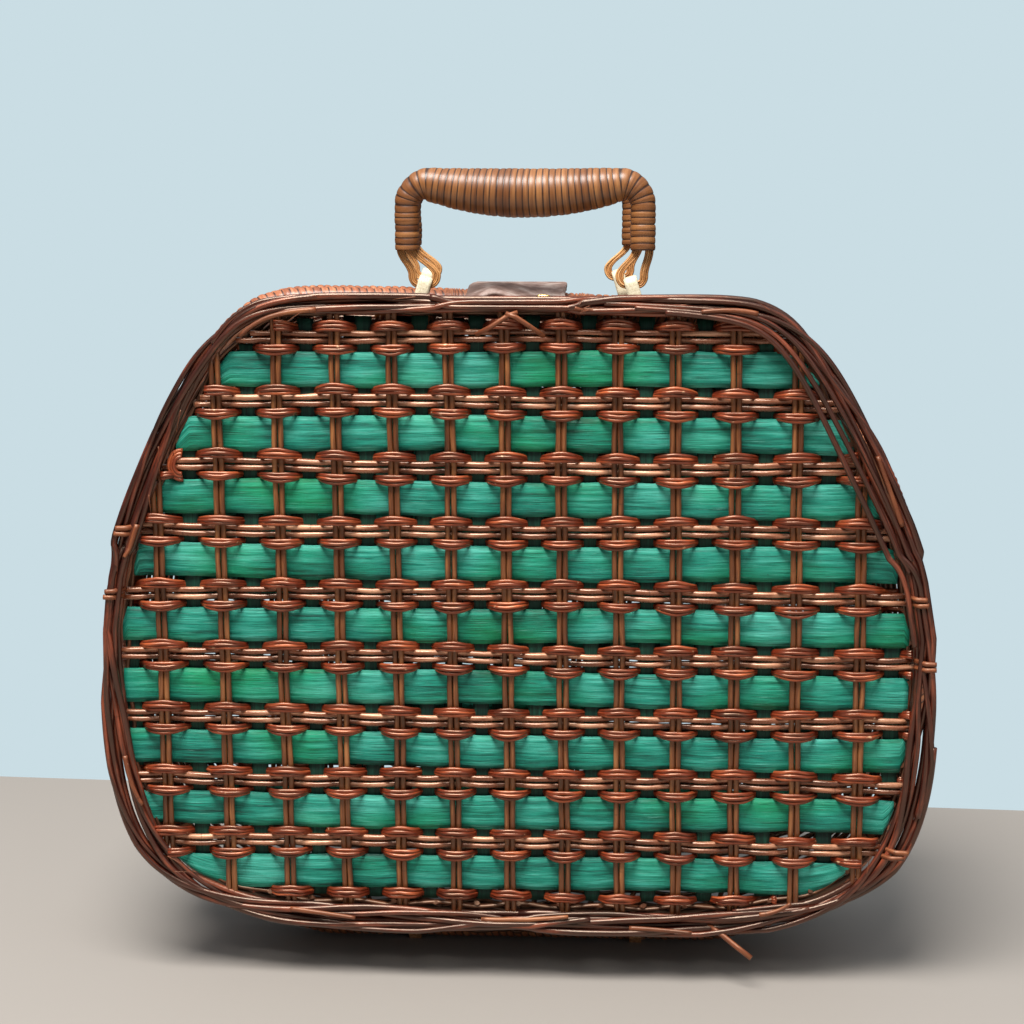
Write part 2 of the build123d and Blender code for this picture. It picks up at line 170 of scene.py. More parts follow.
def worn(points):
    """The case as it has worn: behind the front panel, the top hangs lower to the right and to the back,
    and the right shoulder is drawn in."""
    x, y, z = points.T
    raised = smooth_step((z - WEAR_FROM) / WEAR_GROWTH)
    behind = np.clip((y - PANEL_BACK) / WEAR_DEPTH, 0, 1) * raised
    drawn_in = SHOULDER_PULL * behind * smooth_step((x - PULL_FROM) / PULL_WIDTH)
    mouth_drop = MOUTH_DROP * np.clip((x - DROP_FROM) / DROP_WIDTH, 0, 1)
    rear_drop = REAR_DROP * raised * np.clip((y - REAR_FROM) / WEAR_DEPTH, 0, 1)
    return points - np.stack([drawn_in, np.zeros(len(points)), behind * mouth_drop + rear_drop], -1)


def in_scene(name, data):
    """New object, linked into the scene."""
    obj = bpy.data.objects.new(name, data)
    bpy.context.scene.collection.objects.link(obj)
    return obj


def piece(name, parts, finish, body, replaced=(), turned=False):
    """One object of many rods, on a CAD body. A turned piece is one of the rear half. What rides on a
    half is worn as the case is."""
    corners, faces, lays, start = [], [], [], 0
    for points, cells, lay in parts:
        corners.append(points)
        lays.append(lay)
        faces += [[start + k for k in cell] for cell in cells]
        start += len(points)
    corners = np.concatenate(corners) * ([-1, -1, 1] if turned else [1, 1, 1])
    if body and body.endswith("half"):
        corners = worn(corners)
    corners = corners * MM
    mesh = bpy.data.meshes.new(name)
    mesh.from_pydata(corners.tolist(), [], faces)
    lay = mesh.attributes.new("lay", "FLOAT_VECTOR", "POINT")
    lay.data.foreach_set("vector", np.concatenate(lays).astype(np.float32).ravel())
    mesh.polygons.foreach_set("use_smooth", [len(cell) == 4 for cell in faces])
    mesh.materials.append(finish)
    obj = in_scene(name, mesh)
    if body:
        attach(obj, body)
    if replaced:
        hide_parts(*replaced)
    return obj


HALVES = (("front", 0), ("rear", 1))
FRONT = (0.0, -1.0, 0.0)


def on_both(name, make, finish, node=None, body="half"):
    """The same piece on each half. The rear one is made as a front one, and turned half a turn."""
    for half, rear in HALVES:
        replaced = [f"{half}_{node}"] if node else ()
        piece(f"{half}_{name}", make(rear), finish, f"{half}_{body}", replaced, turned=rear)


BLACK, WHITE = (0, 0, 0), (255, 255, 255)


class Finish:
    """Builds one procedural material, node by node."""

    def __init__(self, name):
        self.material = bpy.data.materials.new(name)
        self.material.use_nodes = True
        self.tree = self.material.node_tree
        self.shader = self.tree.nodes["Principled BSDF"]
        lay = self.add("ShaderNodeAttribute")
        lay.attribute_name = "lay"
        self.lay = lay.outputs["Vector"]
        split = self.add("ShaderNodeSeparateXYZ")
        self.join(self.lay, split.inputs[0])
        self.along, self.around, self.seed = split.outputs

    def add(self, kind, **values):
        node = self.tree.nodes.new(kind)
        for key, value in values.items():
            node.inputs[key].default_value = value
        return node

    def join(self, value, socket):
        """Feeds a socket with another's output, a number, or a colour as a screen gives it."""
        if isinstance(value, (int, float)):
            socket.default_value = value
        elif isinstance(value, tuple):
            socket.default_value = (*linear(value), 1)
        else:
            self.tree.links.new(value, socket)

    def math(self, operation, a, b=0.0):
        node = self.tree.nodes.new("ShaderNodeMath")
        node.operation = operation
        for socket, value in zip(node.inputs, (a, b)):
            self.join(value, socket)
        return node.outputs[0]

    def scaled(self, value, weight, added=0.0):
        """The value times its weight, and what is added to it."""
        return self.math("ADD", self.math("MULTIPLY", value, weight), added)

    def noise(self, where, scale=1.0, detail=3.0, roughness=0.55):
        node = self.add("ShaderNodeTexNoise", Scale=scale, Detail=detail, Roughness=roughness)
        self.join(where, node.inputs["Vector"])
        return node.outputs["Fac"]

    def grain(self, along, around, detail, roughness=0.55, seed=37.0):
        """Noise on the rod itself, so dense along and round it, and different on each rod."""
        where = self.add("ShaderNodeCombineXYZ")
        for k, (way, density) in enumerate(((self.along, along), (self.around, around), (self.seed, seed))):
            self.join(self.math("MULTIPLY", way, density), where.inputs[k])
        return self.noise(where.outputs[0], 1.0, detail, roughness)

    def ramp(self, value, stops):
        node = self.tree.nodes.new("ShaderNodeValToRGB")
        while len(node.color_ramp.elements) < len(stops):
            node.color_ramp.elements.new(0.5)
        for element, (place, colour) in zip(node.color_ramp.elements, stops):
            element.position = place
            element.color = (*linear(colour), 1)
        self.join(value, node.inputs[0])
        return node.outputs[0]

    def mask(self, value, start, end, strength):
        """From nothing where the value is at the start to the full strength at the end."""
        return self.math("MULTIPLY", self.ramp(value, [(start, BLACK), (end, WHITE)]), strength)

    def mix(self, share, a, b, kind="MIX"):
        node = self.tree.nodes.new("ShaderNodeMix")
        node.data_type = "RGBA"
        node.blend_type = kind
        for k, value in ((0, share), (6, a), (7, b)):
            self.join(value, node.inputs[k])
        return node.outputs[2]

    def bump(self, height, strength, distance, under=None):
        node = self.add("ShaderNodeBump", Strength=strength, Distance=distance)
        self.join(height, node.inputs["Height"])
        if under is not None:
            self.join(under, node.inputs["Normal"])
        return node.outputs[0]

    def done(self, colour, roughness, normal=None, specular=0.5, coat=0.0, coat_roughness=0.3, tint=None):
        for name, value in (("Base Color", colour), ("Roughness", roughness), ("Normal", normal),
                            ("Specular IOR Level", specular), ("Specular Tint", tint),
                            ("Coat Weight", coat), ("Coat Roughness", coat_roughness)):
            if value is not None:
                self.join(value, self.shader.inputs[name])
        return self.material


def linear(colour):
    """Colour given as a screen's 0 to 255, as the light values that a material takes."""
    return tuple((c / 255 / 12.92) if c <= 10 else ((c / 255 + 0.055) / 1.055) ** 2.4 for c in colour)


# Slats. Nine wide slats of split bamboo to a panel, stained green with the grain showing, bent a little
# round the stakes and strips that they pass between. Their ends run in under the border.
COLUMNS, PITCH, SHIFT, CROWDING = 13, 26.0, -2.1, 0.0016
ROWS, ROW_PITCH, TOP_SLAT = 9, 30.4, 295.0
COLUMN_LEAN, MIDDLE_HEIGHT = -0.011, 170.0
SLAT_HEIGHT, SLAT_THICKNESS, SLAT_LAYER, SLAT_CROWN = 16.5, 1.3, -57.2, 0.45
SLAT_INSET, SLAT_END_INSET, REAR_SLAT_EXTRA = 13.0, 13.5, 1.8
SLAT_SWAY, UPRIGHT_SWAY, CROSS_SWAY = 0.6, 0.35, 0.9


def column_place(i):
    """Middle of a stake pair, or of a strip at a half number. The columns stand closer in the middle."""
    step = i - (COLUMNS - 1) / 2
    return SHIFT + PITCH * step * (1 + CROWDING * step * step)


def column_lean(z):
    """How far a column stands off to the side at heights."""
    return COLUMN_LEAN * (np.asarray(z) - MIDDLE_HEIGHT)


def weave_phase(x, z):
    """Phase of the weave at a place: a whole number over a stake pair, and a half over a strip."""
    places = np.arange(-1.5, COLUMNS + 1, 0.5)
    return np.interp(x - column_lean(z), [column_place(i) for i in places], places)


def row_sag(x, row):
    """Small unevenness of a row."""
    return 0.55 * np.sin(x / 61 + 1.7 * row) + 0.3 * np.sin(x / 23 + 2.9 * row)


def edge_across(z, inset):
    """How far the outline lies from the middle at heights, for the panel's ends."""
    points = border_point(np.linspace(0, 0.5, 2001), inset)
    return np.interp(z, points[:, 1], points[:, 0])


def ribbon(path, across, half_width, thickness, facing, seed, crown=0.0, lanes=6):
    """Flat strip along a path with a crowned face."""
    share = np.linspace(-1, 1, lanes)
    half_width = np.broadcast_to(half_width, (len(path),))[:, None, None]
    lift = crown * (1 - share ** 2)
    round_edge = thickness / 2 * np.where(np.abs(share) == 1, 0.45, 1)
    face = path[:, None] + across * half_width * share[None, :, None]
    top = face + np.asarray(facing) * (lift + round_edge)[None, :, None]
    back = face + np.asarray(facing) * (lift - round_edge)[None, :, None]
    place = half_width[:, 0, 0][:, None] * np.concatenate([share, share[::-1]])[None, :]
    return skin(path, np.concatenate([top, back[:, ::-1]], 1), place, seed)


def edge_heights(x, inset):
    """Lowest and highest point of the panel at places across it."""
    points = border_point(np.linspace(0, 0.5, 4001), inset)
    widest = int(np.argmax(points[:, 0]))
    low = np.interp(np.abs(x), points[:widest + 1, 0], points[:widest + 1, 1])
    high = np.interp(np.abs(x), points[widest:, 0][::-1], points[widest:, 1][::-1])
    return low, high


def upright_heights(out, inset, margin, count):
    """Heights of an upright so far out, from the bottom border to the top one."""
    points = border_point(np.linspace(0, 0.5, 2001), inset)
    z = points[points[:, 0] >= out, 1]
    return np.linspace(z.min() + margin, z.max() - margin, count)


def slat_parts(rear):
    parts, count = [], 150
    for row in range(ROWS):
        z = TOP_SLAT - ROW_PITCH * row
        reach = float(max(edge_across(z - 6, SLAT_END_INSET), edge_across(z + 6, SLAT_END_INSET)))
        x = np.linspace(-reach, reach, count)
        middle = z + row_sag(x, row)
        half = (SLAT_HEIGHT + REAR_SLAT_EXTRA * rear) / 2 + 0.35 * wander(count, 5, 100 + row + rear)
        low, high = edge_heights(x, SLAT_INSET)
        low = np.maximum(middle - half, low)
        high = np.maximum(np.minimum(middle + half, high), low + 0.3)
        y = SLAT_LAYER + SLAT_SWAY * np.cos(2 * np.pi * weave_phase(x, z))
        path = np.stack([x, y, (low + high) / 2], -1)
        parts.append(ribbon(path, np.array([0, 0, 1.0]), (high - low) / 2, SLAT_THICKNESS, FRONT,
                            row + 20 * rear, SLAT_CROWN, 7))
    return parts


def bamboo(name, shades, roughness):
    """Stained split bamboo: long streaks, fine fibres and a few dark specks. The first three shades are
    the wood's, the fourth is where the stain is worn thin, and the last where it is thick."""
    f = Finish(name)
    streaks = f.grain(0.018, 0.42, 5.0, 0.65)
    fibres = f.grain(0.05, 3.2, 6.0, 0.7)
    patches = f.grain(0.014, 0.03, 3.0)
    tone = f.scaled(streaks, 0.6, f.scaled(patches, 0.5, f.scaled(fibres, 0.18)))
    colour = f.ramp(tone, [(0.50, shades[0]), (0.64, shades[1]), (0.78, shades[2])])
    vivid = f.grain(0.009, 0.02, 2.0, seed=91.0)
    colour = f.mix(f.mask(vivid, 0.48, 0.66, 0.5), colour, shades[4])
    lines = f.ramp(fibres, [(0.36, (70, 80, 76)), (0.47, (215, 220, 215)), (0.56, WHITE)])
    colour = f.mix(0.8, colour, lines, "MULTIPLY")
    worn_stain = f.grain(0.05, 1.9, 5.0, 0.7)
    colour = f.mix(f.mask(worn_stain, 0.60, 0.70, 0.5), colour, shades[3])
    specks = f.grain(0.35, 0.35, 2.0)
    colour = f.mix(f.mask(specks, 0.74, 0.78, 0.6), colour, (45, 30, 22))
    rough = f.scaled(fibres, 0.25, roughness)
    normal = f.bump(fibres, 0.6, 0.0005, f.bump(streaks, 0.3, 0.0008))
    return f.done(colour, rough, normal, specular=0.35)


green_bamboo = bamboo("green bamboo", ((4, 66, 56), (27, 144, 122), (86, 190, 170), (142, 212, 194),
                                       (8, 162, 88)), 0.34)
on_both("bamboo_slats", slat_parts, green_bamboo, "slats")


# Strips. Narrow upright strips of the same bamboo, darkened with painted shade. They lie behind the
# slats and in front of the weavers, and their ends go in under the border.
STRIP_WIDTH, STRIP_THICKNESS, STRIP_LAYER, STRIP_CROWN = 7.7, 1.0, -55.7, 0.2
STRIP_INSET, STRIP_REACH, REAR_STRIP_EXTRA = 14.5, 185.5, 2.0


def strip_parts(rear):
    parts, count = [], 60
    for i in range(COLUMNS + 1):
        x = column_place(i - 0.5)
        outer = min(abs(x) + STRIP_WIDTH / 2, STRIP_REACH - 1.5)
        z = upright_heights(outer - 1.0, STRIP_INSET, 1, count)
        row = (TOP_SLAT - z) / ROW_PITCH
        y = STRIP_LAYER - UPRIGHT_SWAY * np.cos(2 * np.pi * (row + 0.5))
        middle = x + column_lean(z) + 0.5 * wander(count, 2, 300 + i + rear)
        path = np.stack([middle, y, z], -1)
        half = (STRIP_WIDTH + REAR_STRIP_EXTRA * rear) / 2 + 0.3 * wander(count, 4, 340 + i + rear)
        half = np.minimum(half, STRIP_REACH - np.abs(middle))
        parts.append(ribbon(path, np.array([-1.0, 0, 0]), half, STRIP_THICKNESS, FRONT,
                            i + 40 + 20 * rear, STRIP_CROWN, 6))
    return parts


# Painted shade: the strips get much darker shades than the slats, for the shade they lie in.
shade_painted_bamboo = bamboo("green bamboo with painted shade", ((4, 32, 26), (12, 56, 44), (26, 82, 64), (50, 92, 78),
                                           (8, 62, 40)), 0.5)
on_both("bamboo_strips", strip_parts, shade_painted_bamboo, "strips")


# Stakes. Pairs of thin brown willow rods that run from the bottom border to the top one, in front of
# the slats and behind the weavers. The bark is on, so they are uneven and faintly ringed.
STAKE_ROD, STAKE_SPACING, STAKE_LAYER, STAKE_INSET = 2.65, 2.8, -59.8, 9.0


def stake_parts(rear):
    parts, count = [], 90
    for i in range(COLUMNS):
        for side in (-1, 1):
            seed = 2 * i + (side > 0) + 60 * rear
            x = column_place(i) + side * STAKE_SPACING / 2
            z = upright_heights(abs(x), STAKE_INSET, 0, count)
            row = (TOP_SLAT - z) / ROW_PITCH
            y = STAKE_LAYER + UPRIGHT_SWAY * np.cos(2 * np.pi * (row + 0.5))
            middle = x + column_lean(z) + 0.35 * wander(count, 3, 400 + seed)
            middle = middle + 0.3 * wander(count, 1, 480 + i)
            width = STAKE_ROD * (1 + 0.07 * wander(count, 5, 500 + seed))
            parts.append(tube(np.stack([middle, y, z], -1), width, width * 0.95, FRONT, 8, seed=seed))
    return parts


def willow(name, shades, roughness, glint):
    """Varnished willow bark, with streaks along the rod and darker rings."""
    f = Finish(name)
    streaks = f.grain(0.045, 5.0, 5.0, 0.65)
    patches = f.grain(0.02, 0.6, 3.0)
    tone = f.scaled(streaks, 0.5, f.scaled(patches, 0.55))
    colour = f.ramp(tone, [(0.38, shades[0]), (0.53, shades[1]), (0.68, shades[2])])
    rings = f.ramp(f.grain(0.5, 0.5, 2.0), [(0.64, WHITE), (0.74, (120, 105, 95))])
    colour = f.mix(0.6, colour, rings, "MULTIPLY")
    fine = f.grain(0.9, 14.0, 4.0, 0.7)
    normal = f.bump(fine, 0.35, 0.0002, f.bump(streaks, 0.4, 0.0004))
    rough = f.scaled(fine, 0.22, roughness - 0.08)
    return f.done(colour, rough, normal, specular=0.9, coat=glint * 0.3, coat_roughness=0.22,
                  tint=(255, 220, 190))


brown_willow = willow("brown willow", ((50, 20, 9), (104, 56, 29), (162, 104, 60)), 0.30, 0.4)
on_both("willow_stakes", stake_parts, brown_willow, "stakes")


# Cross rods. Pairs of thinner rods that run level between the slats, in the slats' own layer. Some
# poke out through the border at the sides.
CROSS_ROD, CROSS_SPACING, CROSS_RISE, CROSS_LAYER = 2.8, 3.3, 15.2, -58.2
CROSS_INSET, CROSS_ENDS = 12.0, (-2, 6)


def cross_rod_parts(rear):
    parts, count = [], 100
    draw = np.random.default_rng(610 + rear)
    for row in range(ROWS):
        for side in (-1, 1):
            seed = 2 * row + (side > 0) + 30 * rear
            z = TOP_SLAT - ROW_PITCH * row + CROSS_RISE + side * CROSS_SPACING / 2
            ends = float(edge_across(z, CROSS_INSET)) + draw.uniform(*CROSS_ENDS, 2)
            x = np.linspace(-ends[0], ends[1], count)
            y = CROSS_LAYER + CROSS_SWAY * np.cos(2 * np.pi * weave_phase(x, z))
            height = z + row_sag(x, row + 0.5) + 0.22 * wander(count, 9, 620 + seed)
            width = CROSS_ROD * (1 + 0.08 * wander(count, 6, 660 + seed))
            parts.append(tube(np.stack([x, y, height], -1), width, width, FRONT, 8, seed=seed))
    return parts


pale_willow = willow("pale willow", ((58, 22, 11), (122, 66, 42), (214, 158, 122)), 0.24, 0.9)
on_both("willow_cross_rods", cross_rod_parts, pale_willow, "cross_rods")


# Weavers. Three half-round reeds run side by side, over each stake pair and down behind each strip, above
# and below each pair of cross rods. At one row's left end they show where they turn back round the rods.
REED, REED_DEPTH, REED_SPACING, REED_FLATNESS = 1.85, 1.8, 1.72, 0.3
WEAVER_INNER, WEAVER_FRONT, WEAVER_BACK, WEAVER_INSET = 3.95, -62.9, -54.1, 12.5
BULGE, DIVE_FROM, DIVE_LENGTH = 0.8, 0.19, 0.25
TIGHTNESS, TILT, REAR_REED_EXTRA = (0.45, 0.75), 0.12, 0.3
PINCH_FROM, PINCH_LENGTH, REED_SLIP, LANE_RISES = 0.03, 0.36, 0.28, (0.3, -0.25, 0.3)
LOOP_ROW, LOOP_PLACE, LOOP_LAYER = 2, -156.0, -60.6


def weaver_parts(rear):
    rows, count = [], 170
    for row in range(ROWS):
        pair = TOP_SLAT - ROW_PITCH * row + CROSS_RISE
        rows += [(pair, 1), (pair, -1)]
    rows.append((TOP_SLAT - ROW_PITCH * ROWS + CROSS_RISE, 1))
    parts, crossings = [], np.arange(-2, COLUMNS + 2)
    for k, (pair, side) in enumerate(rows):
        z = pair + side * (WEAVER_INNER + REED_SPACING)
        reach = float(min(edge_across(z - 2.5, WEAVER_INSET), edge_across(z + 2.5, WEAVER_INSET)))
        x = np.linspace(-reach, reach, count)
        phase = weave_phase(x, z)
        away = np.abs(phase - np.round(phase))
        dive = smooth_step((away - DIVE_FROM) / DIVE_LENGTH)
        y = (WEAVER_FRONT + BULGE * np.minimum(away / 0.3, 1) ** 2
             + (WEAVER_BACK - WEAVER_FRONT - BULGE) * dive)
        draw = np.random.default_rng(690 + k + 40 * rear)
        tightness = np.interp(phase, crossings, draw.uniform(*TIGHTNESS, len(crossings)))
        pinch = 1 - tightness * np.clip((away - PINCH_FROM) / PINCH_LENGTH, 0, 1) ** 1.4
        slip = np.interp(phase, crossings, draw.normal(0, REED_SLIP, len(crossings)))
        for lane in (0, 1, 2):
            seed = 3 * k + lane + 1 + 80 * rear
            height = pair + side * (WEAVER_INNER + lane * REED_SPACING * pinch)
            height = height + row_sag(x, k // 2 + 0.5) + slip * lane / 2
            height = height + 0.16 * wander(count, 16, 700 + seed) - TILT * (y - WEAVER_FRONT)
            lift = y + LANE_RISES[lane] * pinch + lane * 0.5 * (1 - pinch)
            lift = lift + 0.2 * wander(count, 12, 780 + seed)
            width = (REED + REAR_REED_EXTRA * rear) * (1 + 0.08 * wander(count, 9, 860 + seed))
            path = np.stack([x, lift, height], -1)
            parts.append(tube(path, width, REED_DEPTH, FRONT, 7, seed=seed, flatness=REED_FLATNESS))
    for lane in (0, 1, 2):
        angle = np.linspace(-0.55 * np.pi, 0.55 * np.pi, 18)
        radius = WEAVER_INNER + lane * REED_SPACING * 0.9
        middle = TOP_SLAT - LOOP_ROW * ROW_PITCH + CROSS_RISE
        left = LOOP_PLACE - radius * np.cos(angle) * 0.8
        lift = LOOP_LAYER + 1.3 * np.abs(angle / 1.7) + 0.3 * lane
        path = np.stack([left, lift, middle + radius * np.sin(angle)], -1)
        seed = 240 + lane + 80 * rear
        parts.append(tube(path, REED, REED_DEPTH, FRONT, 8, seed=seed, flatness=REED_FLATNESS))
    return parts


def reed(name, shades, roughness):
    """Stained reed with a glossy skin and long fibres. The last shade is for pale spots laid at random."""
    f = Finish(name)
    fibres = f.grain(0.03, 9.0, 5.0, 0.7)
    patches = f.grain(0.035, 0.4, 3.0)
    tone = f.scaled(fibres, 0.45, f.scaled(patches, 0.6))
    colour = f.ramp(tone, [(0.40, shades[0]), (0.54, shades[1]), (0.70, shades[2])])
    normal = f.bump(fibres, 0.35, 0.0003)
    rough = f.scaled(fibres, 0.2, roughness - 0.06)
    # Pale spots in the last shade, laid at random by noise.
    pale_spots = f.grain(0.22, 1.1, 2.0, seed=53.0)
    colour = f.mix(f.mask(pale_spots, 0.70, 0.76, 0.55), colour, shades[3])
    return f.done(colour, rough, normal, specular=1.0, coat=0.12, coat_roughness=0.2, tint=(255, 214, 178))


brown_reed = reed("brown reed", ((52, 12, 5), (112, 40, 20), (194, 98, 56), (232, 190, 146)), 0.28)
on_both("reed_weavers", weaver_parts, brown_reed, "weavers")


# Side wall. Short willow stakes run from the panel's edge out to the mouth rim, and courses of round
# reed are woven in and out of them all the way round.
WALL_FRONT, WALL_BACK = -58.0, -14.0
WALL_INSET, WALL_MOUTH_INSET, WALL_THICKNESS = 12.0, 4.0, 4.0
WALL_COURSES, WALL_REED, WALL_REED_DEPTH = 14, 3.5, 2.3
WALL_STAKES, WALL_STAKE, WALL_STAKE_DEPTH = 56, 3.2, 2.4
WALL_SUNK, WALL_BEND, WALL_STAKE_SUNK = 1.6, 0.95, 1.9


def wall_point(turn, share, sunk):
    """Point on the side wall, a share of the way from the panel to the mouth and sunk into it."""
    panel, mouth = border_point(turn, WALL_INSET + sunk), mouth_point(turn, WALL_MOUTH_INSET + sunk)
    share = np.asarray(share, float)
    flat = panel + share[..., None] * (mouth - panel)
    y = WALL_FRONT + share * (WALL_BACK - WALL_FRONT)
    return np.stack([flat[..., 0], np.broadcast_to(y, flat[..., 0].shape), flat[..., 1]], -1)


def wall_parts(rear):
    parts, steps, count = [], 6, 14
    turns, _ = paced_turns(WALL_STAKES * steps)
    phase = np.arange(WALL_STAKES * steps) / steps
    for course in range(WALL_COURSES):
        share = (course + 0.5) / WALL_COURSES
        bend = np.cos(np.pi * (phase + course)) * WALL_BEND
        shares = share + 0.006 * wander(len(turns), 9, 900 + course + rear, True)
        path = wall_point(turns, shares, 0.0)
        inner = wall_point(turns, shares, WALL_THICKNESS)
        path = path + (inner - path) * ((WALL_SUNK + bend) / WALL_THICKNESS)[:, None]
        width = WALL_REED * (1 + 0.05 * wander(len(turns), 20, 940 + course + rear, True))
        facing = path - inner + [0, 1e-6, 0]
        parts.append(tube(path, width, WALL_REED_DEPTH, facing, 5, closed=True, seed=course + 20 * rear))
    for i in range(WALL_STAKES):
        turn, share = np.full(count, turns[i * steps]), np.linspace(0.0, 1.0, count)
        path = wall_point(turn, share, WALL_STAKE_SUNK)
        facing = wall_point(turn, share, 0.0) - path
        parts.append(tube(path, WALL_STAKE, WALL_STAKE_DEPTH, facing, 6, seed=100 + i + 60 * rear))
    return parts


# Painted shade: the wall's reed is a darker copy of the weavers' reed, so the inside of the case looks
# shaded.
shade_painted_wall_reed = reed("wall reed with painted shade", ((34, 14, 8), (70, 34, 19), (114, 66, 38), (150, 96, 60)), 0.42)
on_both("woven_wall", wall_parts, shade_painted_wall_reed, "side_wall")


# Border. Long dark willow rods are plaited loosely round the panel's edge, in two groups of three that
# cross. Plain rods line it from behind, and three loose ones cross the right shoulder. Here and there a
# cut end shows pale wood, a cross rod's end pokes out, or a reed hangs loose.
BORDER_MIDDLE, BORDER_BAND = -62.6, 15.0
BORDER_GROUPS = ((0.0, 3.9, 0.0), (0.5, 4.3, 3.1))      # start, crossings and roll
BORDER_RODS, BORDER_WAVES, BORDER_LAYERS = (2.9, 2.5, 3.2), 4, (-4.2, 3.0)
BORDER_INSET, BORDER_SWAY, BORDER_ROLL, ROD_LAG = 6.2, 4.2, 1.75, 0.09
TOP_DIP, TOP_DIP_PLACE, TOP_DIP_WIDTH = 2.8, 0.49, 0.045
LINING_WIDTH, LINING_DEPTH = 3.2, 2.9
LINING = ((5.0, 2.8), (9.5, 2.8))                       # inset and depth of each rod
REAR_LINING = ((15.6, 0.5), (18.4, 1.5), (21.0, 2.6))
CUT_ENDS = (                                            # share of the way round, inset, length, rise
    (0.045, 5.0, 30, 1), (0.10, 10.0, 18, 0), (0.905, 9.5, 34, 1), (0.985, 8.0, 44, 1),
    (0.30, 6.0, 36, 1), (0.405, 8.0, 26, 1), (0.465, 11.5, 26, 1), (0.575, 10.5, 40, 0),
    (0.70, 10.5, 34, 1), (0.80, 9.5, 28, 1),
)
STRAY_REEDS = (                                         # points and width
    (((-16.5, -64.5, 311.5), (-9.0, -66.5, 315.5), (-1.5, -67.5, 320.5), (3.0, -67.0, 322.0)), 2.3),
    (((-2.5, -67.5, 321.5), (2.0, -67.8, 320.0), (8.0, -66.5, 316.0), (15.0, -64.5, 311.0)), 2.2),
    (((94.0, -61.0, 29.0), (101.0, -64.0, 25.0), (108.0, -68.0, 20.5), (114.5, -71.0, 16.5)), 2.7),
)
ROD_ENDS = ((-1, 219.0, 1.5), (1, 188.6, 0.5), (1, 158.2, 1.0), (1, 67.0, 3.5), (-1, 188.6, 0.0))
FIBRES = 14


def along_border(turn_share, inset, depth):
    """Path in the border from shares of the way round it, insets and depths."""
    dense, _ = paced_turns(4000)
    turn = np.interp(np.asarray(turn_share) % 1, np.arange(4001) / 4000, np.append(dense, 1.0))
    flat = border_point(turn, 0.0)
    deep = border_point(turn, BORDER_BAND)
    xz = flat + (deep - flat) * (np.asarray(inset) / BORDER_BAND)[:, None]
    return np.stack([xz[:, 0], BORDER_MIDDLE + depth, xz[:, 1]], -1)


def border_parts(rear):
    parts, count = [], 400
    for group, (start, crossings, rolled) in enumerate(BORDER_GROUPS):
        for rod in range(3):
            seed = 3 * group + rod + 12 * rear
            s = np.linspace(0, 1.03, count)
            where = start + ROD_LAG * rod + s
            wave = 2 * np.pi * (BORDER_WAVES * where + 0.5 * group)
            sway = np.sin(wave + 0.5 * wander(count, 3, 1000 + group))
            dip = TOP_DIP * np.exp(-((np.mod(where, 1) - TOP_DIP_PLACE) / TOP_DIP_WIDTH) ** 2)
            middle = BORDER_INSET + BORDER_SWAY * sway + dip
            ahead = 1.5 * np.cos(wave)
            roll = 2 * np.pi * (crossings * 1.7 * where + rod / 3) + rolled
            inset = middle + BORDER_ROLL * np.cos(roll) + 0.7 * wander(count, 9, 1020 + seed)
            depth = ahead * (1 if group else -1) + 1.6 * np.sin(roll) + 0.5 * wander(count, 8, 1040 + seed)
            thickness = BORDER_RODS[rod] * (1 + 0.09 * wander(count, 12, 1080 + seed))
            inset = np.clip(inset, 1.5 + 1.2 * dip, BORDER_BAND - 0.2)
            path = along_border(where, inset, np.clip(depth, *BORDER_LAYERS))
            parts.append(tube(path, thickness, thickness * 0.9, FRONT, 9, seed=seed))
    s = np.linspace(0, 1, 120)
    for lane in (0, 1, 2):
        bow = 12.2 + (9.0 - 2.5 * lane) * np.sin(np.pi * s) ** 1.2 - 2.6 * lane
        depth = -3.6 + 0.7 * lane + 0.4 * np.sin(9 * s + lane)
        path = along_border(0.25 + 0.012 * lane + 0.19 * s, bow, depth)
        parts.append(tube(path, 2.7 - 0.2 * lane, 2.4, FRONT, 10, seed=8 + lane + 12 * rear))
    count = 300
    for inset, depth in LINING + (REAR_LINING if rear else ()):
        wavy = inset + 0.8 * wander(count, 9, 1100 + int(inset))
        path = along_border(np.linspace(0, 1.01, count), wavy, np.full(count, depth))
        parts.append(tube(path, LINING_WIDTH, LINING_DEPTH, FRONT, 8, seed=40 + int(inset)))
    return parts


def splinter_parts(rear):
    """Cut ends of willow, the ends of cross rods, the loose reeds and the fibres of the bark."""
    parts = []
    _, length = paced_turns(10)
    for i, (share, inset, size, out) in enumerate(CUT_ENDS):
        s = np.linspace(0, 1, 16)
        where = share + rear * 0.013 + s * size / length
        rise = -3.0 - 1.0 * s * out
        path = along_border(where, inset + (3.0 * s ** 2 if i % 2 else -1.5 * s ** 2), rise + 0.8 * (1 - s))
        parts.append(tube(path, 2.6 - 0.7 * s, 2.1, FRONT, 8, seed=i + 20 * rear))
    for i, (side, height, out) in enumerate(ROD_ENDS):
        for lane in (-1, 1):
            z = height + lane * CROSS_SPACING / 2
            edge = float(edge_across(z, 11.0))
            t = np.linspace(0, 1, 9)
            path = np.stack([side * (edge + t * (8.0 + out)), -59.5 - 7.5 * np.minimum(1, 2.2 * t),
                             z - 0.4 * lane * t], -1)
            parts.append(tube(path, 2.5, 2.4, FRONT, 8, seed=30 + 2 * i + lane + 20 * rear))
    for path, width in (() if rear else STRAY_REEDS):
        parts.append(tube(np.array(path), width, 2.0, FRONT, 8, seed=70 + width))
    draw = np.random.default_rng(1150 + rear)
    for i in range(FIBRES):
        share, size = draw.uniform(0, 1), draw.uniform(5, 13)
        s = np.linspace(0, 1, 10)
        inset = draw.uniform(2, 12) + draw.uniform(-4, 7) * s
        path = along_border(share + s * size / length, inset, -4.6 - draw.uniform(0, 1.2) * s ** 2)
        parts.append(tube(path, 0.5 * (1 - 0.8 * s), 0.4 * (1 - 0.8 * s), FRONT, 5, seed=50 + i))
    return parts


